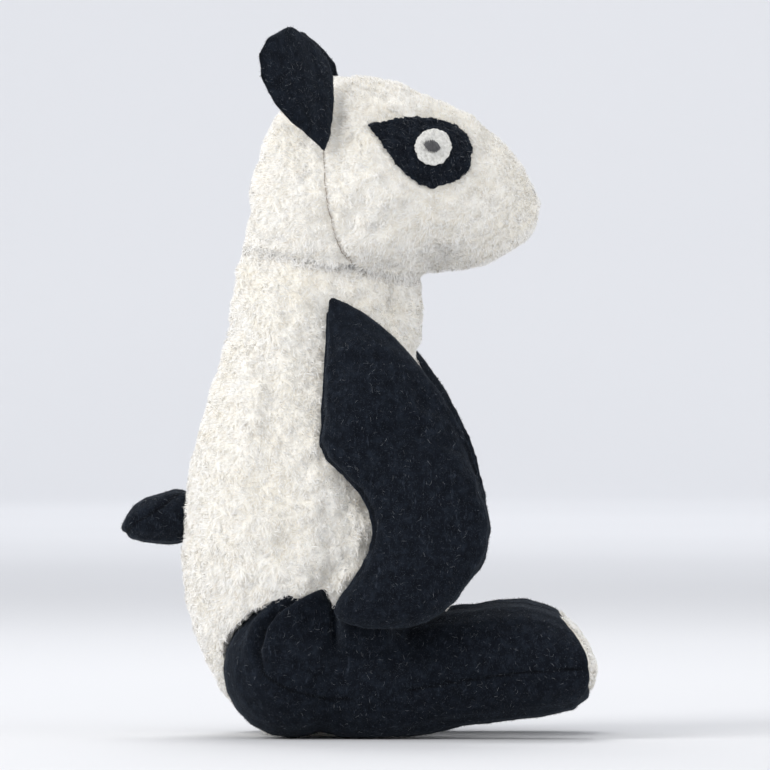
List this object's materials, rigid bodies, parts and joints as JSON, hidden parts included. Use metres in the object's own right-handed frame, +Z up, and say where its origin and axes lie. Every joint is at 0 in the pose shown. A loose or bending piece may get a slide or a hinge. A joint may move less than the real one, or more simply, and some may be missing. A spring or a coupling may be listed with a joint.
{
  "type": "plush panda",
  "caption": "Sitting stuffed toy panda: cream plush body and head, black felt ears, arms, legs, tail and eye patches.",
  "frame": {"origin": "middle of the box the toy fills, at the surface it sits on", "axes": "+Z up, the face looks along -Y, the toy's own left side is +X"},
  "size_m": [0.1346, 0.167, 0.2452],
  "materials": {
    "cream_plush": "short brushed pile",
    "black_felt": "napped wool felt",
    "white_felt": "thin felt with a cut edge",
    "thread": "satin-stitched sewing thread",
    "stuffing": "loose polyester filling"
  },
  "bodies": {
    "torso": {"torso_front": "cream_plush", "torso_back_left": "cream_plush", "torso_back_right": "cream_plush", "torso_stuffing": "stuffing"},
    "neck": {"neck_stuffing": "stuffing"},
    "head": {"face_left": "cream_plush", "face_right": "cream_plush", "head_back_left": "cream_plush", "head_back_right": "cream_plush", "head_stuffing": "stuffing", "eye_patch_left": "black_felt", "eye_patch_right": "black_felt", "eye_white_left": "white_felt", "eye_white_right": "white_felt", "pupil_left": "thread", "pupil_right": "thread", "nose": "thread"},
    "ear_left": {"ear_left_front": "black_felt", "ear_left_back": "black_felt"},
    "ear_right": {"ear_right_front": "black_felt", "ear_right_back": "black_felt"},
    "arm_left": {"arm_left_outer": "black_felt", "arm_left_inner": "black_felt", "arm_left_stuffing": "stuffing"},
    "arm_right": {"arm_right_outer": "black_felt", "arm_right_inner": "black_felt", "arm_right_stuffing": "stuffing"},
    "leg_left": {"leg_left_upper": "black_felt", "leg_left_lower": "black_felt", "leg_left_sole": "cream_plush", "leg_left_stuffing": "stuffing"},
    "leg_right": {"leg_right_upper": "black_felt", "leg_right_lower": "black_felt", "leg_right_sole": "cream_plush", "leg_right_stuffing": "stuffing"},
    "tail": {"tail_upper": "black_felt", "tail_lower": "black_felt", "tail_stuffing": "stuffing"}
  },
  "joints": [
    {"name": "head_turn", "type": "hinge", "parent": "torso", "child": "neck", "pos_m": [0, 0.01292, 0.15098], "axis": [0, -0.19, 0.9818], "range_deg": [-25, 25], "stiffness_Nm_per_rad": 0.15},
    {"name": "head_nod", "type": "hinge", "parent": "neck", "child": "head", "pos_m": [0, 0.01292, 0.15098], "axis": [1, 0, 0], "range_deg": [-12, 12], "stiffness_Nm_per_rad": 0.25, "springref_deg": -1.49},
    {"name": "ear_left_fold", "type": "hinge", "parent": "head", "child": "ear_left", "pos_m": [0.0446, 0.0126, 0.2077], "axis": [0.471, 0.03, -0.8816], "range_deg": [-25, 15], "stiffness_Nm_per_rad": 0.002},
    {"name": "ear_right_fold", "type": "hinge", "parent": "head", "child": "ear_right", "pos_m": [-0.0446, 0.0126, 0.2077], "axis": [0.471, -0.03, 0.8816], "range_deg": [-25, 15], "stiffness_Nm_per_rad": 0.002},
    {"name": "arm_left_out", "type": "hinge", "parent": "torso", "child": "arm_left", "pos_m": [0.04145, 0.00957, 0.12802], "axis": [-0.2707, -0.1225, 0.9548], "range_deg": [0, 70], "stiffness_Nm_per_rad": 0.01, "springref_deg": -2.86},
    {"name": "arm_right_out", "type": "hinge", "parent": "torso", "child": "arm_right", "pos_m": [-0.04145, 0.01118, 0.12794], "axis": [-0.2707, 0.0556, -0.961], "range_deg": [0, 70], "stiffness_Nm_per_rad": 0.01, "springref_deg": -2.86},
    {"name": "leg_left_down", "type": "hinge", "parent": "torso", "child": "leg_left", "pos_m": [0.032, 0.02275, 0.0238], "axis": [1, 0, 0], "range_deg": [0, 60], "stiffness_Nm_per_rad": 0.03},
    {"name": "leg_right_down", "type": "hinge", "parent": "torso", "child": "leg_right", "pos_m": [-0.032, 0.02275, 0.0238], "axis": [1, 0, 0], "range_deg": [0, 60], "stiffness_Nm_per_rad": 0.03},
    {"name": "tail_wag", "type": "hinge", "parent": "torso", "child": "tail", "pos_m": [0, 0.06465, 0.0764], "axis": [0, 0, 1], "range_deg": [-25, 25], "stiffness_Nm_per_rad": 0.002}
  ]
}
